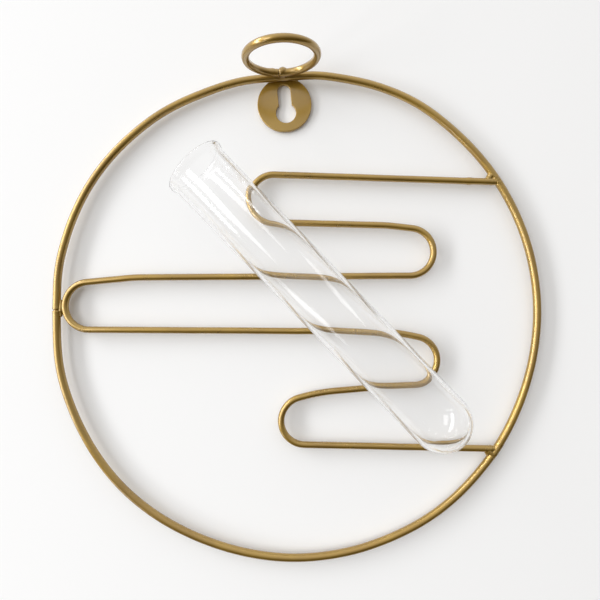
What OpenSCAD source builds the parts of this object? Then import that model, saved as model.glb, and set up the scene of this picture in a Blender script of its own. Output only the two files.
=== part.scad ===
// Hanging wall vase: a wire hoop with a serpentine of bars, a keyhole hanger,
// a ring for the tube, and a glass tube that lies across the bars.
// Drawn with x to the right, y up and z out of the wall, from the hoop's centre.
// The last step stands it up, with its origin in the keyhole on the wall.

/* [Hoop] */
// Radius of the hoop, to the middle of its wire
hoop_r = 101.6; // [96:0.2:120]
// Diameter of the hoop wire
hoop_wire_d = 3.2; // [2.4:0.1:4.4]
// Depth that the hoop is flattened where the hanger is welded
hanger_flat = 1.7; // [0.6:0.1:3]
// Depth that the hoop is flattened at its own seam
seam_flat = 1.2; // [0.6:0.1:3]
// Radius of the soft corner at each end of a flattened stretch
flat_corner_r = 60; // [40:1:75]
// Angle of the hanger, anticlockwise from twelve o'clock
hanger_angle = 3; // [-8:0.5:8]
// Angle of the hoop's seam, anticlockwise from twelve o'clock
seam_angle = 89; // [84:0.5:94]

/* [Serpentine] */
// Diameter of the serpentine wire
bar_wire_d = 2.8; // [2:0.1:3.6]
// Radius of the five U-bends, to the middle of the wire
bend_r = 10; // [8:0.1:10.4]
// Radius of the slow curve that eases a bar into its bend
ease_r = 80; // [60:1:100]
// Height of the upper bar's welded end above the hoop's centre
upper_end_y = 55.5; // [52:0.1:60]
// Sideways place of the first bend
upper_left_x = -9; // [-20:0.1:0]
// Height of the first bend
upper_left_y = 48.6; // [46:0.1:51]
// Sideways place of the second bend
upper_right_x = 48; // [40:0.1:56]
// Height of the second bend
upper_right_y = 26.1; // [24:0.1:28]
// Tilt of the bar where it eases into the second bend
upper_right_tilt = 6.9; // [2:0.1:10]
// Straight run between the easing curve and the second bend
upper_right_run = 6.5; // [3:0.1:12]
// Height of the third bend, which is welded to the hoop
far_left_y = 3.5; // [2:0.1:5]
// Tilt of the bar where it eases into the third bend
far_left_tilt = 5.6; // [2:0.1:10]
// Straight run between the easing curve and the third bend
far_left_run = 17; // [5:0.5:24]
// Sideways place of the fourth bend
lower_right_x = 49.5; // [42:0.1:56]
// Height of the fourth bend
lower_right_y = -19.3; // [-21:0.1:-18]
// Tilt of the bar where it eases into the fourth bend
lower_right_tilt = 11.8; // [4:0.1:16]
// Straight run between the easing curve and the fourth bend
lower_right_run = 2.8; // [1:0.1:6]
// Sideways place of the fifth bend
lower_left_x = 4; // [-6:0.1:14]
// Height of the fifth bend
lower_left_y = -44.8; // [-46:0.1:-43]
// Tilt of the bar where it eases into the fifth bend
lower_left_tilt = 16; // [8:0.1:20]
// Straight run between the easing curve and the fifth bend
lower_left_run = 1; // [0.5:0.1:4]
// Height of the lower bar's welded end, below the hoop's centre
lower_end_y = -56.5; // [-60:0.1:-55.5]

/* [Hanger plate] */
// Diameter of the hanger plate
plate_d = 23; // [18:0.5:30]
// Thickness of the hanger plate
plate_t = 1.5; // [1:0.1:2.5]
// Width of the small bevel round the plate's edges
plate_bevel = 0.2; // [0.1:0.05:0.4]
// How far the plate's top edge passes the middle of the hoop wire
plate_lap = 0.6; // [0:0.1:1.2]
// Diameter of the keyhole's round hole, for a screw head
keyhole_d = 8.4; // [7.4:0.1:10]
// Width of the keyhole's slot, for a screw shank
slot_w = 5.4; // [3:0.1:5.4]
// Distance from the round hole's centre to the slot's end centre
slot_l = 9.25; // [7:0.05:9.6]
// Drop of the round hole's centre below the plate's centre
keyhole_drop = 3.6; // [2.5:0.1:4.6]
// How far the keyhole was punched off the plate's centre line
keyhole_side = 0.3; // [0:0.1:0.8]
// Lean of the keyhole against the plate
keyhole_lean = 2.7; // [0:0.1:6]

/* [Tube ring] */
// Diameter of the ring wire
ring_wire_d = 3; // [2:0.1:4]
// Room between the tube and the ring's hole, across the diameter
ring_room = 0.5; // [0.3:0.1:2]
// Angle that the ring's front hangs down
ring_droop = 4; // [0:0.5:10]

/* [Glass tube] */
// Outer diameter of the glass tube
tube_d = 24; // [18:0.5:30]
// Thickness of the glass
tube_wall = 1.3; // [0.8:0.1:2]
// Length of the glass tube from lip to round end
tube_l = 150; // [120:1:165]
// How far the lip reaches past the ring's hole all round
lip_catch = 0.75; // [0.4:0.05:1.5]
// Length of the flare below the lip
flare_l = 3.2; // [2:0.1:6]
// Sideways place of the mouth's centre as the tube lies
mouth_x = -39.1; // [-46:0.1:-34]
// Height of the mouth's centre as the tube lies
mouth_y = 58.1; // [54:0.1:62]
// Slope of the tube below level as it lies
tube_slope = 46.1; // [42:0.1:52]
// Gap between the tube and the bars that it lies on
tube_gap = 0.2; // [0.1:0.05:0.5]

/* [Welds] */
// Gap that a weld closes between two wires or a wire and the plate
weld_gap = 0.1; // [0.05:0.05:0.4]
// Gap between the far-left bend and the hoop, which the weld fills
far_bend_gap = 0.7; // [0.3:0.1:1.2]
// Radius of the weld beads at the two bar ends
bar_weld_r = 1.9; // [1.6:0.1:2.4]
// Depth of those beads, out of the wall
bar_weld_depth = 2.4; // [1.6:0.1:2.6]
// Radius of the weld bead at the far-left bend
bend_weld_r = 2.3; // [2:0.1:2.4]
// Depth of that bead, out of the wall
bend_weld_depth = 2.4; // [1.8:0.1:2.4]
// Radius of the weld bead at the ring's seam
ring_weld_r = 2.1; // [1.8:0.1:2.4]
// Radius of the weld beads between the plate and the hoop
plate_weld_r = 1.3; // [0.8:0.1:1.4]
// Sideways distance of the plate's weld beads from its centre line
plate_weld_x = 4.5; // [3:0.1:6]
// Width of the groove left at a wire's seam
groove_w = 0.4; // [0.2:0.05:0.8]
// Depth of the groove left at a wire's seam
groove_depth = 0.4; // [0.2:0.05:0.6]

/* [Hidden] */
$fn = 96;

gold = [0.6, 0.46, 0.23];
weld_gold = [0.55, 0.42, 0.2];
glass = [0.88, 0.93, 0.94, 0.35];

// Heights out of the wall
wire_out = plate_t + weld_gap + hoop_wire_d / 2;
ring_out = wire_out + hoop_wire_d / 2 + weld_gap + ring_wire_d / 2;
tube_out = wire_out + bar_wire_d / 2 + tube_gap + tube_d / 2;

// A joint between two stretches of one wire: the gap between their ends, the
// length of the core that closes it, and how far the core stands proud
joint_gap = 0.1;
joint_l = 0.5;
joint_grow = 0.01;

// Facets in a full turn of a bent wire's path and round the wire, and a bead's bevel
path_facets = 360;
wire_facets = 72;
bead_bevel = 0.4;

// How far a cutting shape runs past what it cuts
past = 1;

// The ring and the lip fit the tube
ring_hole_d = tube_d + ring_room;
ring_r = (ring_hole_d + ring_wire_d) / 2;
lip_d = ring_hole_d + 2 * lip_catch;
lip_r = tube_wall / 2;
inner_r = tube_d / 2 - tube_wall;

// The flattened stretch that carries the hanger, and the plate below it
hanger_y = hoop_r - hanger_flat;
plate_y = hanger_y - plate_d / 2 + plate_lap;

// The keyhole, seen from the hoop's centre with the hanger at twelve o'clock
keyhole_at = [0, plate_y] + turned([keyhole_side, -keyhole_drop], keyhole_lean);
slot_end_at = [0, plate_y] + turned([keyhole_side, slot_l - keyhole_drop], keyhole_lean);
origin_at = turned(keyhole_at, hanger_angle);

// The third bend stands off the flattened seam by its weld gap
seam_x = -(hoop_r - seam_flat);
far_left_x = seam_x + hoop_wire_d / 2 + far_bend_gap + bar_wire_d / 2 + bend_r;

// Stops of the serpentine: [x, y, radius, turn], turn 1 to the left and -1 to the right
upper_end = [on_hoop(upper_end_y), upper_end_y, 0, 1];
lower_end = [on_hoop(lower_end_y), lower_end_y, 0, 1];
upper_left = [upper_left_x, upper_left_y, bend_r, 1];
upper_right = [upper_right_x, upper_right_y, bend_r, -1];
far_left = [far_left_x, far_left_y, bend_r, 1];
lower_right = [lower_right_x, lower_right_y, bend_r, -1];
lower_left = [lower_left_x, lower_left_y, bend_r, 1];
stops = [upper_end,
         upper_left,
         eased(upper_right, -upper_right_tilt, upper_right_run), upper_right,
         eased(far_left, 180 + far_left_tilt, far_left_run), far_left,
         eased(lower_right, -lower_right_tilt, lower_right_run), lower_right,
         eased(lower_left, 180 + lower_left_tilt, lower_left_run), lower_left,
         lower_end];

// The stop that the last bar starts from
last = len(stops) - 2;

// A point turned anticlockwise about the centre
function turned(p, a) = [p.x * cos(a) - p.y * sin(a), p.x * sin(a) + p.y * cos(a)];

// Sideways place of the hoop's right half at a height
function on_hoop(y) = sqrt(hoop_r * hoop_r - y * y);

// Unit vectors along a heading and to its left
function along(a) = [cos(a), sin(a)];
function leftward(a) = [-sin(a), cos(a)];

// The easing curve before a bend, reached with a straight run at a heading
function eased(bend, heading, run) = concat(
    [bend.x, bend.y] + bend[3] * (ease_r - bend[2]) * leftward(heading) - run * along(heading),
    [ease_r, bend[3]]);

// Heading of the straight wire that touches two stops
function heading(a, b) =
    atan2(b.y - a.y, b.x - a.x)
    - asin((b[2] * b[3] - a[2] * a[3]) / norm([b.x - a.x, b.y - a.y]));

// Where the wire leaves or reaches a stop at a heading
function touch(stop, a) = [stop.x, stop.y] - stop[2] * stop[3] * leftward(a);

// Angle from 0 to 360
function wrapped(a) = a - 360 * floor(a / 360);

// Unit vector along the hoop at one of its points, clockwise
function hoop_way(p) = [p.y, -p.x] / norm([p.x, p.y]);

// Corner between a bar's end and the hoop, for a bar that runs along bar_way
function crotch(end, bar_way, hoop_dir) =
    let(s = abs(bar_way.x * hoop_dir.y - bar_way.y * hoop_dir.x))
    [end.x, end.y] + hoop_wire_d / 2 / s * bar_way + bar_wire_d / 2 / s * hoop_dir;

// A wire of diameter d bent round a centre, at the wires' height, short of both joints
module bent_wire(centre, r, from, sweep, d) {
    trim = joint_gap / 2 / r * 180 / PI;
    translate([centre.x, centre.y, wire_out])
        rotate([0, 0, from + trim])
            rotate_extrude(angle = sweep - 2 * trim, $fn = path_facets)
                translate([r, 0])
                    circle(d = d, $fn = wire_facets);
}

// A straight wire of diameter d between two points, at the wires' height, short of both
module straight_wire(a, b, d) {
    length = norm(b - a) - joint_gap;
    translate([a.x, a.y, wire_out])
        rotate([0, 90, atan2(b.y - a.y, b.x - a.x)])
            translate([0, 0, joint_gap / 2])
                cylinder(h = length, d = d);
}

// The short core that carries a wire on from one stretch to the next
module joint(p, way, d) {
    translate([p.x, p.y, wire_out])
        rotate([0, 90, way])
            cylinder(h = joint_l, d = d + 2 * joint_grow, center = true);
}

// Half the length of a flattened stretch, and the angle that its corners turn
function flat_half(depth) = sqrt(pow(hoop_r - flat_corner_r, 2)
    - pow(hoop_r - depth - flat_corner_r, 2));
function flat_turn(depth) = atan2(flat_half(depth), hoop_r - depth - flat_corner_r);

// The straight wire of a flattened stretch at twelve o'clock
module flat_wire(depth) {
    half = flat_half(depth);
    y = hoop_r - depth;
    straight_wire([-half, y], [half, y], hoop_wire_d);
}

// A flattened stretch at twelve o'clock, with its soft corners and joints
module flattened(depth) {
    half = flat_half(depth);
    turn = flat_turn(depth);
    y = hoop_r - depth;
    flat_wire(depth);
    bent_wire([half, y - flat_corner_r], flat_corner_r, 90 - turn, turn, hoop_wire_d);
    bent_wire([-half, y - flat_corner_r], flat_corner_r, 90, turn, hoop_wire_d);
    for (side = [-1, 1]) {
        joint([side * half, y], 0, hoop_wire_d);
        joint(hoop_r * [side * sin(turn), cos(turn)], -side * turn, hoop_wire_d);
    }
}

// The hoop's round stretch between two flattened ones
module round_stretch(from, from_depth, to, to_depth) {
    start = from + flat_turn(from_depth);
    end = to - flat_turn(to_depth);
    bent_wire([0, 0], hoop_r, 90 + start, end - start, hoop_wire_d);
}

// The whole hoop wire, before its seam is cut
module hoop_wire() {
    rotate([0, 0, hanger_angle])
        flattened(hanger_flat);
    rotate([0, 0, seam_angle])
        flattened(seam_flat);
    round_stretch(hanger_angle, hanger_flat, seam_angle, seam_flat);
    round_stretch(seam_angle, seam_flat, 360 + hanger_angle, hanger_flat);
}

// The hoop without its flattened stretches, for cutting what meets it
module round_hoop() {
    translate([0, 0, wire_out])
        rotate_extrude($fn = path_facets)
            translate([hoop_r, 0])
                circle(d = hoop_wire_d, $fn = wire_facets);
}

// The groove round a wire's butt seam, for a wire along x
module seam_groove(wire_d) {
    rotate([0, 90, 0])
        difference() {
            cylinder(h = groove_w, d = wire_d + past, center = true);
            cylinder(h = groove_w + past, d = wire_d - 2 * groove_depth, center = true);
        }
}

// The straight stretch of the serpentine after a stop
module bar(i) {
    a = heading(stops[i], stops[i + 1]);
    straight_wire(touch(stops[i], a), touch(stops[i + 1], a), bar_wire_d);
}

// The bent stretch of the serpentine at a stop, with the joint at each end
module bend(i) {
    a = heading(stops[i - 1], stops[i]);
    b = heading(stops[i], stops[i + 1]);
    turn = stops[i][3];
    bent_wire(stops[i], stops[i][2], (turn > 0 ? a : b) - turn * 90,
              wrapped(turn * (b - a)), bar_wire_d);
    joint(touch(stops[i], a), a, bar_wire_d);
    joint(touch(stops[i], b), b, bar_wire_d);
}

// The serpentine's wire, from end to end
module serpentine_wire() {
    for (i = [0 : last])
        bar(i);
    for (i = [1 : last])
        bend(i);
}

// Puts a piece in front of the hanger's stretch, with the ring's droop
module at_ring() {
    rotate([0, 0, hanger_angle])
        translate([0, hanger_y, ring_out])
            rotate([ring_droop, 0, 0])
                children();
}

// The ring, its back at the origin and its hole up and down
module ring_wire() {
    translate([0, 0, ring_r])
        rotate([-90, 0, 0])
            rotate_extrude()
                translate([ring_r, 0])
                    circle(d = ring_wire_d);
}

// The plate's disc with its small bevels
module plate_disc() {
    r = plate_d / 2;
    rotate_extrude()
        polygon([[0, 0], [r - plate_bevel, 0], [r, plate_bevel],
                 [r, plate_t - plate_bevel], [r - plate_bevel, plate_t], [0, plate_t]]);
}

// A weld bead before it is cut to the wires: a short bevelled post out of the wall
module bead(r, depth) {
    side = depth / 2;
    rotate_extrude()
        polygon([[0, -side], [r - bead_bevel, -side], [r, bead_bevel - side],
                 [r, side - bead_bevel], [r - bead_bevel, side], [0, side]]);
}

// A bead where a bar's end meets the hoop, on the side where they close up
module bar_weld(end, stretch, bar_way, hoop_dir) {
    corner = crotch(end, bar_way, hoop_dir);
    difference() {
        translate([corner.x, corner.y, wire_out])
            bead(bar_weld_r, bar_weld_depth);
        round_hoop();
        bar(stretch);
    }
}

// A bead between the plate's top edge and the hoop, side 1 right and -1 left
module plate_weld(side) {
    edge = sqrt(pow(plate_d / 2, 2) - pow(plate_weld_x, 2));
    difference() {
        rotate([0, 0, hanger_angle])
            translate([side * plate_weld_x, plate_y + edge, plate_t - weld_gap])
                sphere(r = plate_weld_r);
        rotate([0, 0, hanger_angle])
            union() {
                flat_wire(hanger_flat);
                translate([0, plate_y, 0])
                    plate_disc();
            }
    }
}

// The plate with its keyhole
module hanger_plate_solid() {
    rotate([0, 0, hanger_angle])
        difference() {
            translate([0, plate_y, 0])
                plate_disc();
            translate([keyhole_at.x, keyhole_at.y, -past])
                cylinder(h = plate_t + 2 * past, d = keyhole_d);
            translate([slot_end_at.x, slot_end_at.y, -past])
                cylinder(h = plate_t + 2 * past, d = slot_w);
            translate([keyhole_at.x, keyhole_at.y, -past])
                rotate([0, 0, keyhole_lean])
                    translate([-slot_w / 2, 0, 0])
                        cube([slot_w, slot_l, plate_t + 2 * past]);
        }
}

// Section of the glass: a wall, a flare and a rounded lip above the round end
module glass_section() {
    r = tube_d / 2;
    mouth_r = lip_d / 2;
    end_y = r - tube_l;
    polygon([[inner_r, end_y], [r, end_y], [r, -flare_l - lip_r],
             [mouth_r, -lip_r], [mouth_r - tube_wall, -lip_r], [inner_r, -flare_l - lip_r]]);
    translate([mouth_r - lip_r, -lip_r])
        circle(r = lip_r);
    translate([0, end_y])
        intersection() {
            difference() {
                circle(r = r);
                circle(r = inner_r);
            }
            translate([0, -r])
                square([r, r]);
        }
}

// Stands the object up, with the keyhole's hole on the wall at the origin
module stood_up() {
    rotate([90, 0, 0])
        translate([-origin_at.x, -origin_at.y, 0])
            children();
}

module hoop() {
    color(gold)
        stood_up()
            difference() {
                hoop_wire();
                rotate([0, 0, seam_angle])
                    translate([0, -seam_x, wire_out])
                        seam_groove(hoop_wire_d);
            }
}

module serpentine() {
    color(gold)
        stood_up()
            difference() {
                serpentine_wire();
                round_hoop();
            }
}

module tube_ring() {
    color(gold)
        stood_up()
            at_ring()
                difference() {
                    ring_wire();
                    seam_groove(ring_wire_d);
                }
}

module hanger_plate() {
    color(gold)
        stood_up()
            hanger_plate_solid();
}

module weld_upper_bar() {
    color(weld_gold)
        stood_up()
            bar_weld(upper_end, 0, along(heading(stops[0], stops[1])), -hoop_way(upper_end));
}

module weld_lower_bar() {
    color(weld_gold)
        stood_up()
            bar_weld(lower_end, last, -along(heading(stops[last], stops[last + 1])), hoop_way(lower_end));
}

module weld_far_bend() {
    color(weld_gold)
        stood_up()
            difference() {
                translate([far_left_x - bend_r - (bar_wire_d + far_bend_gap) / 2, far_left_y, wire_out])
                    bead(bend_weld_r, bend_weld_depth);
                rotate([0, 0, seam_angle])
                    flat_wire(seam_flat);
                bent_wire(far_left, bend_r, 0, 360, bar_wire_d);
            }
}

module weld_ring() {
    color(weld_gold)
        stood_up()
            difference() {
                at_ring()
                    translate([0, 0, -(ring_wire_d + weld_gap) / 2])
                        sphere(r = ring_weld_r);
                at_ring()
                    ring_wire();
                rotate([0, 0, hanger_angle])
                    flat_wire(hanger_flat);
            }
}

module weld_hanger_left() {
    color(weld_gold)
        stood_up()
            plate_weld(-1);
}

module weld_hanger_right() {
    color(weld_gold)
        stood_up()
            plate_weld(1);
}

module glass_tube() {
    color(glass)
        stood_up()
            translate([mouth_x, mouth_y, tube_out])
                rotate([0, -90, -tube_slope])
                    rotate_extrude()
                        glass_section();
}

hoop();
serpentine();
tube_ring();
hanger_plate();
weld_upper_bar();
weld_lower_bar();
weld_far_bend();
weld_ring();
weld_hanger_left();
weld_hanger_right();
glass_tube();
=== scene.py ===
# %% [markdown]
# A wall vase of bent wire and glass. A round hoop carries a serpentine of bars,
# a keyhole plate hangs it, a small ring takes the tube by its lip, and the
# glass tube lies across the bars. The sizes and places come from the finished
# construction model, which loads first as a fixed frame. Every piece made here
# stands for one of its nodes, at the same place, with more detail.

# %% Load the frame
import math

import bmesh
import bpy
from mathutils import Matrix, Vector, noise


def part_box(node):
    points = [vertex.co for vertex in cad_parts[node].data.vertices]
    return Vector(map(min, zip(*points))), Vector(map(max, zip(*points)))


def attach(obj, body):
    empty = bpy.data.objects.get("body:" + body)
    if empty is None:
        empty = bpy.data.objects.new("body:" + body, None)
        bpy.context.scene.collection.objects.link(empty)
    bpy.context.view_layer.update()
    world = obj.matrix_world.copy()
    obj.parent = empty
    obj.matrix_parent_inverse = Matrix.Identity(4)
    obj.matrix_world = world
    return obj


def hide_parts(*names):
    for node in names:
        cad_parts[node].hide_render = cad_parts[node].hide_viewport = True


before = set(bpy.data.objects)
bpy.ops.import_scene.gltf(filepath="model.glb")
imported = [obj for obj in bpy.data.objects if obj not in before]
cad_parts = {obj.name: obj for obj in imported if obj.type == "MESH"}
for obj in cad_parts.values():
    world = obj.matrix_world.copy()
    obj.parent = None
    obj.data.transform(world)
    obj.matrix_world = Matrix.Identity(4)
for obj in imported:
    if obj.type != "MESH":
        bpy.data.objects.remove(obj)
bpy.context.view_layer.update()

print("frame loaded:", ", ".join(sorted(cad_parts)))

# %% [markdown]
# The vase hangs in the plane of a wall, so it is easiest to think in two
# directions on the wall, right and up, and a third out of it. All the wires
# are drawn from the hoop's centre in millimetres, and one function puts such
# a point in its place in the room. The hoop's centre comes from the frame:
# its right side and its bottom are round, so they give it.

# %% Places on the wall
MM = 0.001
HOOP_R = 101.6
hoop_low, hoop_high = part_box("hoop")
HOOP_WIRE_R = (hoop_high.y - hoop_low.y) / 2 / MM
WIRE_OUT = -(hoop_high.y + hoop_low.y) / 2 / MM
to_centre = (HOOP_R + HOOP_WIRE_R) * MM * Vector((-1, 0, 1))
hoop_centre = Vector((hoop_high.x, 0, hoop_low.z)) + to_centre


def place(x, y, out=WIRE_OUT):
    """A point right, up and out from the hoop's centre, in mm, as a place in the room."""
    return hoop_centre + MM * Vector((x, -out, y))


print(f"hoop wire {2 * HOOP_WIRE_R:.2f} mm thick, {WIRE_OUT:.2f} mm from the wall")

# %% [markdown]
# The camera looks straight at the wall, close and wide, as a telephone held
# over a table does. That closeness matters more than the framing: it makes
# the small ring, which stands out from the wall, look larger and further from
# the middle, and it opens the tube's mouth towards us.

# %% Camera
CAMERA_RIGHT, CAMERA_UP, CAMERA_OUT = 1.93, 5.96, 188.0
LENS, SENSOR, NEAR_LIMIT = 26.4, 36.0, 0.01

camera_data = bpy.data.cameras.new("camera")
camera_data.lens = LENS
camera_data.sensor_width = SENSOR
camera_data.clip_start = NEAR_LIMIT
camera = bpy.data.objects.new("camera", camera_data)
bpy.context.scene.collection.objects.link(camera)
camera.location = place(CAMERA_RIGHT, CAMERA_UP, CAMERA_OUT)
camera.rotation_euler = (math.radians(90), 0, 0)
bpy.context.scene.camera = camera
print("camera at", tuple(round(v, 4) for v in camera.location))

# %% [markdown]
# A material is a small graph of nodes, so a few helpers keep each one short:
# one starts a material with its Principled shader, one adds a node and sets
# its inputs, and one makes a patchy noise that is fixed to the object.

# %% Helpers for materials


def new_material(name):
    """A material with only its Principled shader and its output."""
    material = bpy.data.materials.new(name)
    material.use_nodes = True
    return material, material.node_tree, material.node_tree.nodes["Principled BSDF"]


def add_node(tree, kind, **inputs):
    """A node of that kind, with inputs set by name."""
    node = tree.nodes.new(kind)
    for key, value in inputs.items():
        node.inputs[key.replace("_", " ")].default_value = value
    return node


def object_noise(tree, scale, detail=2.0):
    """Noise with patches about 1 / scale metres wide, fixed to the object."""
    place_node = tree.nodes.new("ShaderNodeTexCoord")
    patches = add_node(tree, "ShaderNodeTexNoise", Scale=scale, Detail=detail)
    tree.links.new(place_node.outputs["Object"], patches.inputs["Vector"])
    return patches.outputs["Fac"]


def ramp(tree, value, stops):
    """A colour ramp over a value, with stops as pairs of position and colour."""
    node = tree.nodes.new("ShaderNodeValToRGB")
    elements = node.color_ramp.elements
    while len(elements) < len(stops):
        elements.new(0.5)
    for element, (position, colour) in zip(elements, stops):
        element.position = position
        element.color = (*colour, 1)
    tree.links.new(value, node.inputs["Fac"])
    return node.outputs["Color"]


def grey(value):
    """A grey as a colour."""
    return (value, value, value)


# %% [markdown]
# The metal is steel wire, sprayed with a satin old-gold paint. Such paint has
# fine metal flakes in a clear binder, so it is nearly a metal but not a
# mirror, and the binder on top is a thin clear coat that gives the whitish
# highlights. Broad noises shift the colour and the gloss from place to place,
# and a fine one is the orange-peel skin of sprayed paint, which only bends the
# light.

# %% Gold paint
DARK_GOLD, LIGHT_GOLD = (0.315, 0.18, 0.015), (0.405, 0.245, 0.024)
COLOUR_SCALE, GLOSS_SCALE, PATCH_DETAIL = 60.0, 140.0, 3.0
PATCH_LOW, PATCH_HIGH = 0.3, 0.7
METAL_SHARE = 0.75
COAT_ROUGHNESS, COAT_IOR = 0.18, 1.75
PEEL_STRENGTH, PEEL_HEIGHT = 0.35, 0.00004


def gold_paint(name, shade=1.0, roughness=(0.26, 0.36), peel_scale=900.0):
    """Satin old-gold paint; a shade below one darkens it, which is painted shade."""
    material, tree, shader = new_material(name)
    dark = tuple(shade * c for c in DARK_GOLD)
    light = tuple(shade * c for c in LIGHT_GOLD)
    patches = object_noise(tree, COLOUR_SCALE, PATCH_DETAIL)
    colour = ramp(tree, patches, [(PATCH_LOW, dark), (PATCH_HIGH, light)])
    tree.links.new(colour, shader.inputs["Base Color"])
    low, high = roughness
    patches = object_noise(tree, GLOSS_SCALE, PATCH_DETAIL)
    gloss = ramp(tree, patches, [(PATCH_LOW, grey(low)), (PATCH_HIGH, grey(high))])
    tree.links.new(gloss, shader.inputs["Roughness"])
    shader.inputs["Metallic"].default_value = METAL_SHARE
    shader.inputs["Coat Weight"].default_value = 1.0
    shader.inputs["Coat Roughness"].default_value = COAT_ROUGHNESS
    shader.inputs["Coat IOR"].default_value = COAT_IOR
    peel = add_node(tree, "ShaderNodeBump", Strength=PEEL_STRENGTH, Distance=PEEL_HEIGHT)
    tree.links.new(object_noise(tree, peel_scale), peel.inputs["Height"])
    tree.links.new(peel.outputs["Normal"], shader.inputs["Normal"])
    return material


wire_paint = gold_paint("gold paint on wire")
plate_paint = gold_paint("gold paint on the plate", roughness=(0.34, 0.46), peel_scale=700.0)
# The welds get a darker copy of the paint: painted shade for the corners and the backs of parts
# where they sit.
weld_paint = gold_paint("gold paint over welds", shade=0.92, roughness=(0.24, 0.34))
print("paints:", ", ".join(paint.name for paint in (wire_paint, plate_paint, weld_paint)))

# %% [markdown]
# The tube is clear laboratory glass. It is one Principled shader with full
# transmission and hardly any colour, because thin glass shows itself only by
# its reflections and by the way it bends what is behind it. Lamps would cast
# a dark shadow through it, since bent light is hard to trace back to a lamp,
# so for shadow rays the glass turns into a pale clear pane. It does so for
# diffuse rays too, or the wall beside it would get the same light twice.

# %% Clear glass
GLASS_IOR = 1.47
PANE_CLEARNESS = 0.97


def clear_glass():
    """Glass that lets lamps through."""
    material, tree, shader = new_material("clear glass")
    shader.inputs["Base Color"].default_value = (1.0, 1.0, 1.0, 1)
    shader.inputs["Roughness"].default_value = 0.0
    shader.inputs["IOR"].default_value = GLASS_IOR
    shader.inputs["Transmission Weight"].default_value = 1.0
    pane = add_node(tree, "ShaderNodeBsdfTransparent", Color=(*grey(PANE_CLEARNESS), 1))
    rays = tree.nodes.new("ShaderNodeLightPath")
    unbent = tree.nodes.new("ShaderNodeMath")
    unbent.operation = "MAXIMUM"
    mix = tree.nodes.new("ShaderNodeMixShader")
    tree.links.new(rays.outputs["Is Shadow Ray"], unbent.inputs[0])
    tree.links.new(rays.outputs["Is Diffuse Ray"], unbent.inputs[1])
    tree.links.new(unbent.outputs["Value"], mix.inputs["Fac"])
    tree.links.new(shader.outputs["BSDF"], mix.inputs[1])
    tree.links.new(pane.outputs["BSDF"], mix.inputs[2])
    tree.links.new(mix.outputs["Shader"], tree.nodes["Material Output"].inputs["Surface"])
    return material


glass = clear_glass()
print("glass bends light by", GLASS_IOR)

# %% [markdown]
# A wire is a circle swept along a path, and that is a job for Geometry Nodes:
# the path is a line of points, the tree turns it into a curve, gives it a
# slight hand-bent wobble, and sweeps the circle. A number on every point,
# called swell, thickens or thins the wire there, which makes the grooves and
# lumps at a seam without any extra mesh.

# %% The tree that sweeps a wire
NOISE_MIDDLE = (0.5, 0.5, 0.5)


def wire_tree():
    """The node tree, with its inputs, that turns a line of points into a wire."""
    tree = bpy.data.node_groups.new("wire along a path", "GeometryNodeTree")
    inputs = [
        ("Path", "NodeSocketGeometry"),
        ("Wire radius", "NodeSocketFloat"),
        ("Sides", "NodeSocketInt"),
        ("Wobble", "NodeSocketFloat"),
        ("Wobble scale", "NodeSocketFloat"),
        ("Finish", "NodeSocketMaterial"),
    ]
    for name, kind in inputs:
        tree.interface.new_socket(name, in_out="INPUT", socket_type=kind)
    tree.interface.new_socket("Wire", in_out="OUTPUT", socket_type="NodeSocketGeometry")
    given = tree.nodes.new("NodeGroupInput")
    result = tree.nodes.new("NodeGroupOutput")

    position = tree.nodes.new("GeometryNodeInputPosition")
    waves = tree.nodes.new("ShaderNodeTexNoise")
    centred = tree.nodes.new("ShaderNodeVectorMath")
    centred.operation = "SUBTRACT"
    centred.inputs[1].default_value = NOISE_MIDDLE
    sized = tree.nodes.new("ShaderNodeVectorMath")
    sized.operation = "SCALE"
    moved = tree.nodes.new("GeometryNodeSetPosition")
    swell = tree.nodes.new("GeometryNodeInputNamedAttribute")
    swell.data_type = "FLOAT"
    swell.inputs["Name"].default_value = "swell"
    curve = tree.nodes.new("GeometryNodeMeshToCurve")
    circle = tree.nodes.new("GeometryNodeCurvePrimitiveCircle")
    sweep = tree.nodes.new("GeometryNodeCurveToMesh")
    sweep.inputs["Fill Caps"].default_value = True
    smooth = tree.nodes.new("GeometryNodeSetShadeSmooth")
    real = tree.nodes.new("GeometryNodeRealizeInstances")
    painted = tree.nodes.new("GeometryNodeSetMaterial")

    link = tree.links.new
    link(position.outputs["Position"], waves.inputs["Vector"])
    link(given.outputs["Wobble scale"], waves.inputs["Scale"])
    link(waves.outputs["Color"], centred.inputs[0])
    link(centred.outputs["Vector"], sized.inputs[0])
    link(given.outputs["Wobble"], sized.inputs["Scale"])
    link(given.outputs["Path"], moved.inputs["Geometry"])
    link(sized.outputs["Vector"], moved.inputs["Offset"])
    link(moved.outputs["Geometry"], curve.inputs["Mesh"])
    link(curve.outputs["Curve"], sweep.inputs["Curve"])
    link(swell.outputs["Attribute"], sweep.inputs["Scale"])
    link(given.outputs["Sides"], circle.inputs["Resolution"])
    link(given.outputs["Wire radius"], circle.inputs["Radius"])
    link(circle.outputs["Curve"], sweep.inputs["Profile Curve"])
    link(sweep.outputs["Mesh"], smooth.inputs["Geometry"])
    link(smooth.outputs["Geometry"], real.inputs["Geometry"])
    link(real.outputs["Geometry"], painted.inputs["Geometry"])
    link(given.outputs["Finish"], painted.inputs["Material"])
    link(painted.outputs["Geometry"], result.inputs["Wire"])
    return tree


WIRE_TREE = wire_tree()
INPUT_ID = {item.name: item.identifier for item in WIRE_TREE.interface.items_tree}
print("wire tree inputs:", ", ".join(INPUT_ID))

# %% [markdown]
# Two small helpers finish a piece. One turns an object with live modifiers
# into a plain mesh, and the other tells the frame which body the piece rides
# on and hides the frame's node that it stands for.

# %% Helpers for pieces
WIRE_SIDES = 24
WOBBLE_SCALE = 35.0


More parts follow.
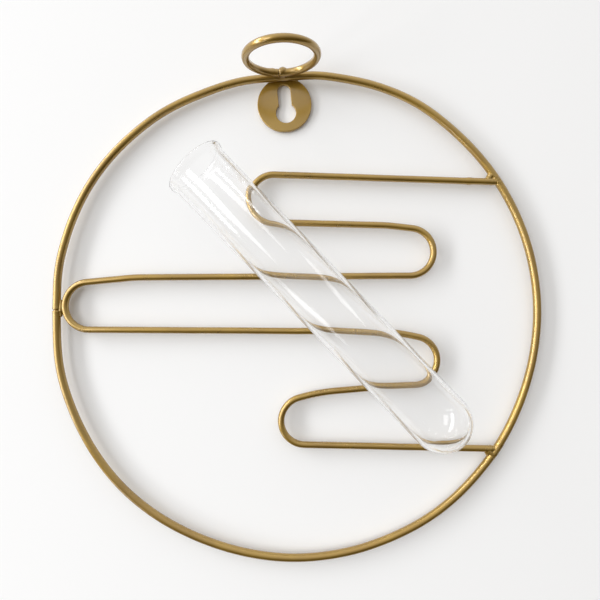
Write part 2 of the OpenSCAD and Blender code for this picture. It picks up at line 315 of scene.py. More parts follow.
def link_mesh(name, mesh):
    """A new object for a mesh, at the origin."""
    piece = bpy.data.objects.new(name, mesh)
    bpy.context.scene.collection.objects.link(piece)
    return piece


def applied(source, name):
    """A plain mesh object of what a source's modifiers make; the source goes away."""
    graph = bpy.context.evaluated_depsgraph_get()
    mesh = bpy.data.meshes.new_from_object(source.evaluated_get(graph))
    mesh.name = name
    bpy.data.objects.remove(source)
    return link_mesh(name, mesh)


def stand_for(piece, body, slot, *nodes):
    """The piece rides on a body and stands for CAD nodes; the slot is not used."""
    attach(piece, body)
    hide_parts(*nodes)
    print(f"{piece.name}: {len(piece.data.polygons)} faces")


def swept_wire(name, points, swells, radius, wobble, closed, finish):
    """A wire along points in the room, with a swell at each."""
    count = len(points)
    edges = [(i, (i + 1) % count) for i in range(count if closed else count - 1)]
    mesh = bpy.data.meshes.new(name + " path")
    mesh.from_pydata(points, edges, [])
    attribute = mesh.attributes.new("swell", "FLOAT", "POINT")
    attribute.data.foreach_set("value", swells)
    path = link_mesh(name + " path", mesh)
    modifier = path.modifiers.new("wire", "NODES")
    modifier.node_group = WIRE_TREE
    modifier[INPUT_ID["Wire radius"]] = radius * MM
    modifier[INPUT_ID["Sides"]] = WIRE_SIDES
    modifier[INPUT_ID["Wobble"]] = wobble * MM
    modifier[INPUT_ID["Wobble scale"]] = WOBBLE_SCALE
    modifier[INPUT_ID["Finish"]] = finish
    return applied(path, name)


# %% [markdown]
# Bent wire is straight stretches joined by arcs, with no kink where they
# meet. So a path is written as the bender works: each stop is a round former
# that the wire wraps, to the left or to the right, and the straight between
# two formers is the line that touches both. The same rule gives the hoop's
# two flattened stretches, which were pressed flat where something is welded.

# %% Paths of bent wire
STEP = 0.9


def turned(x, y, degrees):
    """A point turned anticlockwise about the hoop's centre."""
    a = math.radians(degrees)
    return x * math.cos(a) - y * math.sin(a), x * math.sin(a) + y * math.cos(a)


def arc(cx, cy, r, start, sweep, step=STEP):
    """Points along an arc from a start angle, without its last point."""
    count = max(2, math.ceil(abs(math.radians(sweep)) * r / step))
    angles = [math.radians(start + sweep * i / count) for i in range(count)]
    return [(cx + r * math.cos(a), cy + r * math.sin(a)) for a in angles]


def straight(a, b):
    """Points along a straight stretch, without its last point."""
    count = max(2, math.ceil(math.dist(a, b) / STEP))
    dx, dy = b[0] - a[0], b[1] - a[1]
    return [(a[0] + dx * i / count, a[1] + dy * i / count) for i in range(count)]


def heading(a, b):
    """Direction of the straight wire that touches the formers a and b, in degrees."""
    dx, dy = b[0] - a[0], b[1] - a[1]
    lean = math.asin((b[2] * b[3] - a[2] * a[3]) / math.hypot(dx, dy))
    return math.degrees(math.atan2(dy, dx) - lean)


def touch(stop, degrees):
    """Where the wire leaves or reaches a former at a heading."""
    a = math.radians(degrees)
    x, y, r, turn = stop
    return x + r * turn * math.sin(a), y - r * turn * math.cos(a)


def path_round(stops):
    """Points of a wire that runs from the first stop round the formers to the last."""
    points = []
    for i in range(len(stops) - 1):
        way = heading(stops[i], stops[i + 1])
        points += straight(touch(stops[i], way), touch(stops[i + 1], way))
        if i + 2 < len(stops):
            x, y, r, turn = stops[i + 1]
            sweep = turn * ((turn * (heading(stops[i + 1], stops[i + 2]) - way)) % 360)
            points += arc(x, y, r, way - 90 * turn, sweep)
    return points + [touch(stops[-1], way)]


# %% [markdown]
# A butt seam is where the two ends of a bent wire were pushed together hot
# and brushed over. What stays is a slight swelling, with a fine groove in its
# middle. The path gets closer points there, and the swell on each of them
# draws both. A lump is the same thing without the groove.

# %% Seams of closed wires
SEAM_REACH, SEAM_PARTS = 3.0, 8
SEAM_BULGE, SEAM_BULGE_W = 0.07, 1.2
SEAM_GROOVE, SEAM_GROOVE_W = 0.34, 0.32
LUMP, LUMP_W = 0.14, 1.0


def bell(t):
    """A bell curve: one in the middle, and nearly nothing past two."""
    return math.exp(-(t**2))


def finer_near(seam, points):
    """The points of a closed path, with closer ones near its seam."""
    finer = []
    for a, b in zip(points, points[1:] + points[:1]):
        parts = SEAM_PARTS if (a.lerp(b, 0.5) - seam).length < SEAM_REACH * MM else 1
        finer += [a.lerp(b, k / parts) for k in range(parts)]
    return finer


def seam_swells(seam, points):
    """How thick the wire is at each point, as a share of its own thickness."""
    swells = []
    for point in points:
        reach = (point - seam).length / MM
        bulge = SEAM_BULGE * bell(reach / SEAM_BULGE_W)
        groove = SEAM_GROOVE * bell(reach / SEAM_GROOVE_W)
        swells.append(1 + bulge - groove)
    return swells


def with_lump(spot, points, swells):
    """The swells with a small lump at a spot, where weld spattered and was painted over."""
    lumps = [LUMP * bell((point - spot).length / MM / LUMP_W) for point in points]
    return [swell + lump for swell, lump in zip(swells, lumps)]


# %% [markdown]
# Rolled wire is never a true circle. A short list of soft hand bends pushes
# the hoop out or in by up to a millimetre or so. Each is a bell curve over the
# angle, and they fade out where something is welded to the hoop.

# %% Hand bends
# Angle from three o'clock, push outwards in mm, and half width in degrees.
HAND_BENDS = [
    (60, 0.55, 8),
    (79, -0.65, 6),
    (110, -1.2, 11),
    (145, 0.4, 11),
    (168, -0.3, 8),
    (187, -0.5, 6),
    (226, 1.2, 18),
    (270, 0.65, 27),
    (305, 0.35, 10),
    (342, -0.35, 14),
]


def hand_bent(x, y):
    """The point moved out or in by the hand bends."""
    angle = math.degrees(math.atan2(y, x))
    push = sum(h * bell(((angle - a + 180) % 360 - 180) / w) for a, h, w in HAND_BENDS)
    grow = 1 + push / math.hypot(x, y)
    return x * grow, y * grow


print(len(HAND_BENDS), "hand bends, the largest", max(abs(h) for a, h, w in HAND_BENDS), "mm")

# %% [markdown]
# The hoop is one round wire, closed by a butt weld at nine o'clock. It was
# pressed a little flat there, and again near the top, where the hanger plate
# and the ring are welded on. So its outline is two long arcs and two flattened
# stretches, each a straight with a tighter arc at either end.

# %% The hoop
HANGER_FLAT, SEAM_FLAT, FLAT_CORNER_R = 1.7, 1.2, 60.0
HANGER_ANGLE, SEAM_ANGLE = 3.0, 89.0
WIRE_WOBBLE = 0.25


def flat_turn(depth):
    """Half of the angle that a flattened stretch takes up, in degrees."""
    return math.degrees(math.acos((HOOP_R - depth - FLAT_CORNER_R) / (HOOP_R - FLAT_CORNER_R)))


def flattened(angle, depth):
    """Points of a flattened stretch at an angle from twelve o'clock, anticlockwise."""
    turn = flat_turn(depth)
    y = HOOP_R - depth
    half = (HOOP_R - FLAT_CORNER_R) * math.sin(math.radians(turn))
    points = arc(half, y - FLAT_CORNER_R, FLAT_CORNER_R, 90 - turn, turn)
    points += straight((half, y), (-half, y))
    points += arc(-half, y - FLAT_CORNER_R, FLAT_CORNER_R, 90, turn)
    return [turned(px, py, angle) for px, py in points]


def hoop_path():
    """Points round the hoop, anticlockwise from the hanger's stretch."""
    first = HANGER_ANGLE + flat_turn(HANGER_FLAT)
    second = SEAM_ANGLE - flat_turn(SEAM_FLAT)
    third = SEAM_ANGLE + flat_turn(SEAM_FLAT)
    fourth = 360 + HANGER_ANGLE - flat_turn(HANGER_FLAT)
    points = flattened(HANGER_ANGLE, HANGER_FLAT)
    points += arc(0, 0, HOOP_R, 90 + first, second - first)
    points += flattened(SEAM_ANGLE, SEAM_FLAT)
    points += arc(0, 0, HOOP_R, 90 + third, fourth - third)
    return [hand_bent(x, y) for x, y in points]


hoop_seam = place(*turned(0, HOOP_R - SEAM_FLAT, SEAM_ANGLE))
hoop_points = finer_near(hoop_seam, [place(x, y) for x, y in hoop_path()])
hoop_swells = seam_swells(hoop_seam, hoop_points)
hoop_shape = (hoop_points, hoop_swells, HOOP_WIRE_R, WIRE_WOBBLE)
hoop = swept_wire("hoop_wire", *hoop_shape, closed=True, finish=wire_paint)
stand_for(hoop, "frame", "gold_paint", "hoop")

# %% [markdown]
# The serpentine is one thinner wire. Its bars don't run straight into their
# bends: by hand they ease into them along a slow curve first, and the tilts
# below set how much.

# %% The serpentine
BAR_WIRE_R = 1.4
BEND_R, EASE_R = 10.0, 80.0
FAR_BEND_GAP = 0.7
UPPER_END_Y, LOWER_END_Y = 55.5, -56.5
UPPER_LEFT = (-9.0, 48.6, BEND_R, 1)
UPPER_RIGHT = (48.0, 26.1, BEND_R, -1)
HOOP_LEFT = SEAM_FLAT - HOOP_R + HOOP_WIRE_R
FAR_LEFT = (HOOP_LEFT + FAR_BEND_GAP + BAR_WIRE_R + BEND_R, 3.5, BEND_R, 1)
LOWER_RIGHT = (49.5, -19.3, BEND_R, -1)
LOWER_LEFT = (4.0, -44.8, BEND_R, 1)
BAR_LUMP = (72.9, 56.0)


def on_hoop(y):
    """A stop where a bar ends on the hoop's right side."""
    return (math.sqrt(HOOP_R**2 - y**2), y, 0.0, 1)


def eased(bend, degrees, run):
    """The slow curve before a bend, which it reaches after a straight run at a heading."""
    a = math.radians(degrees)
    x, y, r, turn = bend
    side = turn * (EASE_R - r)
    ease_x = x - side * math.sin(a) - run * math.cos(a)
    ease_y = y + side * math.cos(a) - run * math.sin(a)
    return (ease_x, ease_y, EASE_R, turn)


serpentine_stops = [
    on_hoop(UPPER_END_Y),
    UPPER_LEFT,
    eased(UPPER_RIGHT, -6.9, 6.5),
    UPPER_RIGHT,
    eased(FAR_LEFT, 185.6, 17.0),
    FAR_LEFT,
    eased(LOWER_RIGHT, -11.8, 2.8),
    LOWER_RIGHT,
    eased(LOWER_LEFT, 196.0, 1.0),
    LOWER_LEFT,
    on_hoop(LOWER_END_Y),
]
bar_points = [place(x, y) for x, y in path_round(serpentine_stops)]
bar_swells = with_lump(place(*BAR_LUMP), bar_points, [1.0] * len(bar_points))
bar_shape = (bar_points, bar_swells, BAR_WIRE_R, WIRE_WOBBLE)
serpentine = swept_wire("serpentine_wire", *bar_shape, closed=False, finish=wire_paint)
stand_for(serpentine, "frame", "gold_paint", "serpentine")

# %% [markdown]
# The ring stands out from the front of the hoop's top and droops a little. It
# is a short wire bent to a circle and closed by a butt seam at its back.

# %% The ring
RING_WIRE_R, RING_R, RING_DROOP = 1.5, 13.75, 4.0
RING_POINTS, RING_WOBBLE = 120, 0.2
RING_SEAM_TURN, RING_LUMP_TURN = -6.0, -17.8
WELD_GAP = 0.1
ring_out = WIRE_OUT + HOOP_WIRE_R + WELD_GAP + RING_WIRE_R


def ring_place(along_x, up, away):
    """A point from the ring's back: to the right, up, and away from the wall, before its droop."""
    a = math.radians(RING_DROOP)
    y = HOOP_R - HANGER_FLAT + up * math.cos(a) - away * math.sin(a)
    out = ring_out + up * math.sin(a) + away * math.cos(a)
    x, y = turned(along_x, y, HANGER_ANGLE)
    return place(x, y, out)


def on_ring(degrees, up=0.0):
    """A point on the ring's middle line, turned from its back towards the right."""
    a = math.radians(degrees)
    return ring_place(RING_R * math.sin(a), up, RING_R * (1 - math.cos(a)))


ring_seam = on_ring(RING_SEAM_TURN)
ring_round = [on_ring(360 * i / RING_POINTS) for i in range(RING_POINTS)]
ring_points = finer_near(ring_seam, ring_round)
ring_swells = with_lump(on_ring(RING_LUMP_TURN), ring_points, seam_swells(ring_seam, ring_points))
ring_shape = (ring_points, ring_swells, RING_WIRE_R, RING_WOBBLE)
ring = swept_wire("ring_wire", *ring_shape, closed=True, finish=wire_paint)
stand_for(ring, "frame", "gold_paint", "tube_ring")

# %% [markdown]
# The tube is turned: a section of the wall is spun round its axis. Its outer
# and inner surfaces are both modelled, because the light bends at each, and
# they meet in a rounded lip. The bottom is half a sphere inside and out.

# %% The section of the glass
TUBE_R, TUBE_WALL, TUBE_L = 12.0, 1.3, 150.0
LIP_R, FLARE_L = 13.0, 3.2
ROUND_PARTS, BODY_PARTS, FLARE_PARTS, LIP_PARTS = 24, 12, 8, 10


def glass_section():
    """The wall as radius and height, from the outer pole over the lip to the inner pole."""
    bead = TUBE_WALL / 2
    end = TUBE_R - TUBE_L
    inner = TUBE_R - TUBE_WALL
    down = [math.radians(-90 + 90 * i / ROUND_PARTS) for i in range(ROUND_PARTS + 1)]
    section = [(TUBE_R * math.cos(a), end + TUBE_R * math.sin(a)) for a in down]
    section += [(TUBE_R, end * (1 - i / BODY_PARTS)) for i in range(1, BODY_PARTS)]
    ease = [i / FLARE_PARTS for i in range(FLARE_PARTS + 1)]
    flare = [(3 * t * t - 2 * t * t * t, t) for t in ease]
    low, high = -FLARE_L - bead, -bead
    section += [(TUBE_R + (LIP_R - TUBE_R) * s, low + (high - low) * t) for s, t in flare]
    over = [math.radians(180 * i / LIP_PARTS) for i in range(1, LIP_PARTS)]
    section += [(LIP_R - bead + bead * math.cos(a), high + bead * math.sin(a)) for a in over]
    section += [(inner + (LIP_R - TUBE_R) * s, low + (high - low) * t) for s, t in reversed(flare)]
    section += [(inner, end * i / BODY_PARTS) for i in range(1, BODY_PARTS)]
    up = [math.radians(-90 * i / ROUND_PARTS) for i in range(ROUND_PARTS + 1)]
    section += [(inner * math.cos(a), end + inner * math.sin(a)) for a in up]
    return section


glass_outline = glass_section()
print("glass section:", len(glass_outline), "points")

# %% [markdown]
# Spinning a section is done here by hand, ring by ring, because each pole then
# gets exactly one point and no stray face. The finished tube is turned to its
# slope and laid on the bars by one matrix, so that its object stays at the
# origin.

# %% The glass tube
MOUTH_X, MOUTH_Y, TUBE_SLOPE = -39.1, 58.1, 46.1
TUBE_GAP = 0.2
TUBE_SIDES = 160
tube_out = WIRE_OUT + BAR_WIRE_R + TUBE_GAP + TUBE_R


def spun(name, section, count):
    """A closed mesh of a section spun round the z axis, from pole to pole."""
    mesh = bmesh.new()
    rings = []
    angles = [2 * math.pi * k / count for k in range(count)]
    for radius, height in section[1:-1]:
        points = [(radius * math.cos(a), radius * math.sin(a), height) for a in angles]
        rings.append([mesh.verts.new(point) for point in points])
    first = mesh.verts.new((0, 0, section[0][1]))
    final = mesh.verts.new((0, 0, section[-1][1]))
    for low, high in zip(rings, rings[1:]):
        for k in range(count):
            mesh.faces.new((low[k], low[(k + 1) % count], high[(k + 1) % count], high[k]))
    for k in range(count):
        mesh.faces.new((first, rings[0][(k + 1) % count], rings[0][k]))
        mesh.faces.new((final, rings[-1][k], rings[-1][(k + 1) % count]))
    bmesh.ops.recalc_face_normals(mesh, faces=mesh.faces)
    for face in mesh.faces:
        face.smooth = True
    data = bpy.data.meshes.new(name)
    mesh.to_mesh(data)
    mesh.free()
    return data


slope = math.radians(TUBE_SLOPE)
tube_axis = Vector((-math.cos(slope), 0, math.sin(slope)))
tube_turn = tube_axis.to_track_quat("Z", "Y").to_matrix().to_4x4()
tube_move = Matrix.Translation(place(MOUTH_X, MOUTH_Y, tube_out))
tube_mesh = spun("glass_tube_blown", glass_outline, TUBE_SIDES)
tube_mesh.transform(tube_move @ tube_turn @ Matrix.Scale(MM, 4))
tube_mesh.materials.append(glass)
tube = link_mesh("glass_tube_blown", tube_mesh)
stand_for(tube, "vessel", "clear_glass", "glass_tube")

# %% [markdown]
# The hanger plate is a disc punched from sheet, with a keyhole: a round hole
# for the screw's head, and a slot above it that the screw slides into. A
# punched edge is never sharp. The punch rolls it over a little, and the paint
# rounds it further. So the plate's outline and its keyhole are drawn as flat
# curves, and the curve's own bevel rounds their edges as it gives the sheet
# its thickness.

# %% The hanger plate
PLATE_R, PLATE_T, PLATE_Y = 11.5, 1.5, 89.0
KEY_HEAD_R, KEY_SLOT_R, KEY_SLOT_L = 4.2, 2.7, 9.25
KEY_SIDE, KEY_DROP, KEY_LEAN = 0.3, 3.6, 2.7
PUNCH_ROUND, PUNCH_STEP, PUNCH_PARTS = 0.25, 0.3, 3
SAME_POINT, FACES_FLAT = 0.001, 0.99


def keyhole(grown):
    """The keyhole's outline from its round hole's centre, anticlockwise, grown all round."""
    head, slot = KEY_HEAD_R + grown, KEY_SLOT_R + grown
    foot = math.sqrt(head**2 - slot**2)
    corner = math.degrees(math.atan2(foot, slot))
    points = straight((slot, foot), (slot, KEY_SLOT_L))
    points += arc(0, KEY_SLOT_L, slot, 0, 180, PUNCH_STEP)
    points += straight((-slot, KEY_SLOT_L), (-slot, foot))
    return points + arc(0, 0, head, 180 - corner, 180 + 2 * corner, PUNCH_STEP)


def on_plate(x, y):
    """A point of the leaning keyhole, from the hoop's centre."""
    x, y = turned(x + KEY_SIDE, y - KEY_DROP, KEY_LEAN)
    return turned(x, y + PLATE_Y, HANGER_ANGLE)


def punched_sheet(name, outlines):
    """A sheet with rounded edges, flat in x and y and centred in z, from closed outlines."""
    curve = bpy.data.curves.new(name, "CURVE")
    curve.dimensions = "2D"
    curve.fill_mode = "BOTH"
    curve.extrude = PLATE_T / 2 - PUNCH_ROUND
    curve.bevel_depth = PUNCH_ROUND
    curve.bevel_resolution = PUNCH_PARTS
    for outline in outlines:
        spline = curve.splines.new("POLY")
        spline.points.add(len(outline) - 1)
        for point, (x, y) in zip(spline.points, outline):
            point.co = (x, y, 0, 1)
        spline.use_cyclic_u = True
    source = bpy.data.objects.new(name + " curve", curve)
    bpy.context.scene.collection.objects.link(source)
    return applied(source, name)


disc = arc(0, 0, PLATE_R - PUNCH_ROUND, 0, 360, PUNCH_STEP)
plate_rim = [turned(x, y + PLATE_Y, HANGER_ANGLE) for x, y in disc]
plate_hole = [on_plate(x, y) for x, y in keyhole(PUNCH_ROUND)]
plate = punched_sheet("hanger_plate_punched", [plate_rim, plate_hole])
cleaned = bmesh.new()
cleaned.from_mesh(plate.data)
bmesh.ops.remove_doubles(cleaned, verts=cleaned.verts, dist=SAME_POINT)
bmesh.ops.recalc_face_normals(cleaned, faces=cleaned.faces)
for face in cleaned.faces:
    face.smooth = abs(face.normal.z) < FACES_FLAT
for vert in cleaned.verts:
    vert.co = place(vert.co.x, vert.co.y, vert.co.z + PLATE_T / 2)
cleaned.to_mesh(plate.data)
cleaned.free()
plate.data.materials.clear()
plate.data.materials.append(plate_paint)
stand_for(plate, "frame", "plate_paint", "hanger_plate")

# %% [markdown]
# A weld is metal that ran between two wires and froze, so it has no shape of
# its own: it clings to each wire, climbs into the corner and ends in soft
# lumps. That is modelled as it flows. Fat drops are strung along short lines,
# a voxel remesh melts them into one skin, and a little smoothing and a slow
# noise take the regularity out. A line that follows a wire swells just over
# its surface and sinks under it again at both ends, so that the bead fades
# into the wire.

# %% Melted metal
DROP_DETAIL = 3
MELT_VOXEL, MELT_STEP = 0.13, 0.45
SOFTEN, SOFTEN_ROUNDS = 0.5, 6
RIPPLE, BROAD_RIPPLE, FINE_RIPPLE, FINE_SHARE = 0.07, 1.1, 2.3, 0.5
PROUD, FADE = 0.08, 0.12


def round_drop():
    """Points and faces of a drop of radius one."""
    drop = bmesh.new()
    bmesh.ops.create_icosphere(drop, subdivisions=DROP_DETAIL, radius=1.0)
    points = [vert.co.copy() for vert in drop.verts]
    faces = [[vert.index for vert in face.verts] for face in drop.faces]
    drop.free()
    return points, faces


DROP_POINTS, DROP_FACES = round_drop()


def along_hoop(first, last):
    """Drops along the hoop between two angles from three o'clock, fading at both ends."""
    drops = []
    count = max(2, math.ceil(abs(last - first) * math.radians(HOOP_R) / MELT_STEP))
    for i in range(count + 1):
        t = i / count
        a = math.radians(first + (last - first) * t)
        radius = HOOP_WIRE_R - FADE + (PROUD + FADE) * math.sin(math.pi * t)
        drops.append((HOOP_R * math.cos(a), HOOP_R * math.sin(a), WIRE_OUT, radius))
    return drops


def run_of_drops(start, end):
    """Drops along a straight line between two drops."""
    count = max(2, math.ceil(math.dist(start[:3], end[:3]) / MELT_STEP))
    return [tuple(a + (b - a) * i / count for a, b in zip(start, end)) for i in range(count + 1)]


def melted(name, drops, *nodes):
    """One skin round all the drops, which are x, y, out and radius in millimetres."""
    points, faces = [], []
    for x, y, out, radius in drops:
        faces += [[len(points) + i for i in face] for face in DROP_FACES]
        points += [Vector((x, y, out)) + radius * point for point in DROP_POINTS]
    mesh = bpy.data.meshes.new(name + " drops")
    mesh.from_pydata(points, [], faces)
    source = link_mesh(name + " drops", mesh)
    melt = source.modifiers.new("melt", "REMESH")
    melt.mode = "VOXEL"
    melt.voxel_size = MELT_VOXEL
    melt.use_smooth_shade = True
    soften = source.modifiers.new("soften", "SMOOTH")
    soften.factor, soften.iterations = SOFTEN, SOFTEN_ROUNDS
    skin = applied(source, name)
    moved = []
    for vert in skin.data.vertices:
        ripple = noise.noise(vert.co * BROAD_RIPPLE)
        ripple += FINE_SHARE * noise.noise(vert.co * FINE_RIPPLE)
        x, y, out = vert.co + vert.normal * RIPPLE * ripple
        moved.extend(place(x, y, out))
    skin.data.vertices.foreach_set("co", moved)
    skin.data.update()
    skin.data.materials.append(weld_paint)
    stand_for(skin, "frame", "weld_paint", *nodes)


print("a drop has", len(DROP_POINTS), "points")

# %% [markdown]
# Where a bar ends on the hoop, the weld runs a little way along both wires and
# fills the corner between them. Each run below is a pair of drops, written as
# right, up, out and radius, and the smaller one at the end makes it fade. The
# far bend has only a short bead in the gap between it and the hoop.

# %% Welds at the bar ends
UPPER_RUNS = [
    ((76.8, 55.78, WIRE_OUT, 1.3), (82.5, 55.6, WIRE_OUT, 1.5)),
    ((80.1, 56.5, WIRE_OUT, 0.7), (82.2, 59.8, WIRE_OUT, 0.9)),
    ((81.0, 56.9, WIRE_OUT + 0.1, 1.15), (82.3, 58.4, WIRE_OUT + 0.2, 1.3)),
]
LOWER_RUNS = [
    ((76.4, -56.33, WIRE_OUT, 1.3), (82.0, -56.45, WIRE_OUT, 1.5)),
    ((79.7, -57.0, WIRE_OUT, 0.7), (81.5, -60.2, WIRE_OUT, 0.9)),
    ((81.2, -57.2, WIRE_OUT + 0.3, 1.15), (82.3, -58.6, WIRE_OUT + 0.4, 1.3)),
]
GAP_X = HOOP_LEFT + FAR_BEND_GAP / 2
BEND_RUNS = [
    ((GAP_X, -0.6, WIRE_OUT, 0.6), (GAP_X, 1.7, WIRE_OUT, 1.08)),
    ((GAP_X, 1.7, WIRE_OUT, 1.08), (GAP_X + 0.1, 3.4, WIRE_OUT, 1.0)),
    ((GAP_X + 0.1, 3.4, WIRE_OUT, 1.0), (GAP_X, 5.6, WIRE_OUT, 0.6)),
]


def all_runs(runs):
    """The drops of several runs, in their order."""
    return [drop for start, end in runs for drop in run_of_drops(start, end)]


melted("weld_upper_bar_bead", along_hoop(30.6, 37.2) + all_runs(UPPER_RUNS), "weld_upper_bar")
melted("weld_lower_bar_bead", along_hoop(-37.4, -31.0) + all_runs(LOWER_RUNS), "weld_lower_bar")
melted("weld_far_bend_bead", all_runs(BEND_RUNS), "weld_far_bend")

# %% [markdown]
# The ring's weld is the one that shows most. It follows the back of the ring,
# thickest near the seam, and two legs of it run down to the hoop. Behind the
# hoop, two short beads hold the plate by its top edge.

# %% Welds of the ring and the plate
# Turn on the ring in degrees, height over it and radius of the drop.
RING_BEAD = [
    (-4.4, 0.0, 1.35),
    (-2.2, 0.3, 1.68),
    (0.4, 0.45, 1.8),
    (3.0, 0.3, 1.68),
    (6.5, 0.0, 1.42),
]
# Drop that a leg starts from, where it ends along the hoop, and its radius there.
RING_LEGS = [(2, 0.4, 1.4), (1, -1.2, 1.3)]
LEG_OUT = WIRE_OUT + 0.4

ring_drops = []
for degrees, up, radius in RING_BEAD:
    spot = (on_ring(degrees, up) - hoop_centre) / MM
    ring_drops.append((spot.x, spot.z, -spot.y, radius))
ring_runs = all_runs(zip(ring_drops, ring_drops[1:]))
for number, along, radius in RING_LEGS:
    foot = turned(along, HOOP_R - HANGER_FLAT, HANGER_ANGLE)
    ring_runs += run_of_drops(ring_drops[number], (*foot, LEG_OUT, radius))
melted("weld_ring_bead", ring_runs, "weld_ring")

PLATE_BEAD = [(3.4, 1.1), (5.5, 0.95)]
PLATE_WELD_OUT = 1.4
for side, label in ((-1, "left"), (1, "right")):
    ends = []
    for x, radius in PLATE_BEAD:
        edge = PLATE_Y + math.sqrt(PLATE_R**2 - x**2)
        ends.append((*turned(side * x, edge, HANGER_ANGLE), PLATE_WELD_OUT, radius))
    melted(f"weld_hanger_{label}_bead", run_of_drops(*ends), f"weld_hanger_{label}")

# %% [markdown]
# The wall is one big pale sheet that the plate hangs against. It is clear
# from behind, so that the vase's back can be looked at through it. It is also
# clear to light that comes from less than half a millimetre away, which is
# only the plate's back, and would be black otherwise.

# %% The wall
WALL_HALF, WALL_BACK = 1.5, 0.0002
WALL_GREY, WALL_ROUGHNESS, WALL_GLOSS = 0.93, 0.9, 0.2
TOUCHING = 0.0005


def wall_paint():
    """A pale matt wall that is clear from behind."""
    material, tree, shader = new_material("pale wall")
    shader.inputs["Base Color"].default_value = (*grey(WALL_GREY), 1)
    shader.inputs["Roughness"].default_value = WALL_ROUGHNESS
    shader.inputs["Specular IOR Level"].default_value = WALL_GLOSS
    clear = tree.nodes.new("ShaderNodeBsdfTransparent")
    side = tree.nodes.new("ShaderNodeNewGeometry")
    rays = tree.nodes.new("ShaderNodeLightPath")
    near = tree.nodes.new("ShaderNodeMath")
    near.operation = "LESS_THAN"
    near.inputs[1].default_value = TOUCHING
    either = tree.nodes.new("ShaderNodeMath")
    either.operation = "MAXIMUM"
    mix = tree.nodes.new("ShaderNodeMixShader")
    tree.links.new(rays.outputs["Ray Length"], near.inputs[0])
    tree.links.new(near.outputs["Value"], either.inputs[0])
    tree.links.new(side.outputs["Backfacing"], either.inputs[1])
    tree.links.new(either.outputs["Value"], mix.inputs["Fac"])
    tree.links.new(shader.outputs["BSDF"], mix.inputs[1])
    tree.links.new(clear.outputs["BSDF"], mix.inputs[2])
    tree.links.new(mix.outputs["Shader"], tree.nodes["Material Output"].inputs["Surface"])
    return material


corners = [(-1, -1), (1, -1), (1, 1), (-1, 1)]
wall_points = [(x * WALL_HALF, WALL_BACK, z * WALL_HALF) for x, z in corners]
wall_mesh = bpy.data.meshes.new("wall")
wall_mesh.from_pydata(wall_points, [], [(0, 1, 2, 3)])
wall_mesh.materials.append(wall_paint())
wall = link_mesh("wall", wall_mesh)
print("wall:", 2 * WALL_HALF, "m across")

# %% [markdown]
# A tall window on the left lights the wall at a low angle, so a wire throws
# its shadow some millimetres to the right and leaves a bright gap beside it.
# A dimmer upper pane, further out, puts the white patch in the tube's round
# end, and the lit sill below the window draws the streaks along the tube. Each
# is an area lamp, and its energy is worked out from how bright it should look.

# %% Lamps
DAYLIGHT = (0.97, 0.985, 1.0)
# Name, place from the hoop's centre in metres, width, height and radiance.
LAMPS = [
    ("window", (-1.94, -0.9, 0.34), 0.4, 3.2, 9.9),
    ("upper pane", (-1.32, -1.76, 0.1), 0.7, 1.6, 3.0),
    ("sill", (-1.45, -0.86, -1.5), 1.1, 0.24, 3.4),
]


def soft_lamp(name, location, target, width, height, radiance):
    """A rectangular lamp that looks at a target, as bright all over as its radiance says."""
    data = bpy.data.lights.new(name, "AREA")
    data.shape = "RECTANGLE"
    data.size = width
    data.size_y = height
    data.energy = radiance * math.pi * width * height
    data.color = DAYLIGHT
    lamp = bpy.data.objects.new(name, data)
    bpy.context.scene.collection.objects.link(lamp)
    lamp.location = location
    lamp.rotation_mode = "QUATERNION"
    lamp.rotation_quaternion = (target - location).to_track_quat("-Z", "Y")
    print(f"{name}: {data.energy:.1f} W")


middle = place(0, 0, 0)
for name, offset, width, height, radiance in LAMPS:
    soft_lamp(name, middle + Vector(offset), middle, width, height, radiance)

# %% [markdown]
# The room does the rest: it is pale in front and above, and dark and a little
# warm below, and without that dark side neither the gold nor the glass would
# have edges. One direction runs from the dark side to the bright one, and a
# ramp along it gives the light. Where the camera sees past the wall, the room
# is a plain pale grey, and glass bends half of that grey and half of the real
# room into view.

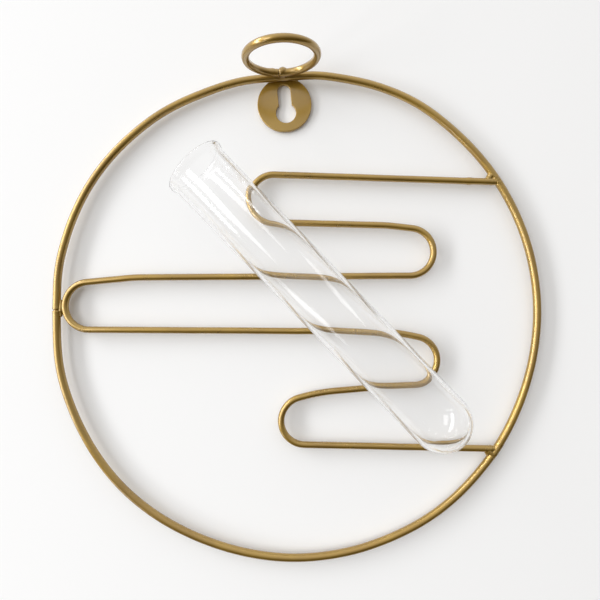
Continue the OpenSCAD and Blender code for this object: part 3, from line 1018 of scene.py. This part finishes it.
# %% The room
BRIGHT_WAY = Vector((-0.3, -0.2, 0.93)).normalized()
ROOM_STEPS = [
    (0.22, (0.045, 0.032, 0.02)),
    (0.42, (0.27, 0.235, 0.19)),
    (0.6, grey(0.6)),
    (0.75, grey(0.85)),
    (0.92, grey(1.15)),
]
PLAIN_ROOM, PLAIN_IN_GLASS = 0.82, 0.5
# A Mix node has sockets of the same name for each kind of data. These are for colours.
MIX_FACTOR, MIX_A, MIX_B, MIX_RESULT = 0, 6, 7, 2


def pale_room():
    """A world that is pale in front and above, and dark below, but plain to the camera."""
    room = bpy.data.worlds.new("pale room")
    room.use_nodes = True
    tree = room.node_tree
    way = tree.nodes.new("ShaderNodeTexCoord")
    side = tree.nodes.new("ShaderNodeVectorMath")
    side.operation = "DOT_PRODUCT"
    side.inputs[1].default_value = BRIGHT_WAY
    half = tree.nodes.new("ShaderNodeMapRange")
    half.inputs["From Min"].default_value = -1.0
    tree.links.new(way.outputs["Generated"], side.inputs[0])
    tree.links.new(side.outputs["Value"], half.inputs["Value"])
    lit = ramp(tree, half.outputs["Result"], ROOM_STEPS)
    rays = tree.nodes.new("ShaderNodeLightPath")
    bent = tree.nodes.new("ShaderNodeMath")
    bent.operation = "MULTIPLY"
    bent.inputs[1].default_value = PLAIN_IN_GLASS
    seen = tree.nodes.new("ShaderNodeMath")
    seen.operation = "MAXIMUM"
    choice = tree.nodes.new("ShaderNodeMix")
    choice.data_type = "RGBA"
    choice.inputs[MIX_B].default_value = (*grey(PLAIN_ROOM), 1)
    tree.links.new(rays.outputs["Is Transmission Ray"], bent.inputs[0])
    tree.links.new(rays.outputs["Is Camera Ray"], seen.inputs[0])
    tree.links.new(bent.outputs["Value"], seen.inputs[1])
    tree.links.new(seen.outputs["Value"], choice.inputs[MIX_FACTOR])
    tree.links.new(lit, choice.inputs[MIX_A])
    tree.links.new(choice.outputs[MIX_RESULT], tree.nodes["Background"].inputs["Color"])
    return room


bpy.context.scene.world = pale_room()
bpy.context.scene.view_settings.view_transform = "Standard"
print("world:", bpy.context.scene.world.name)
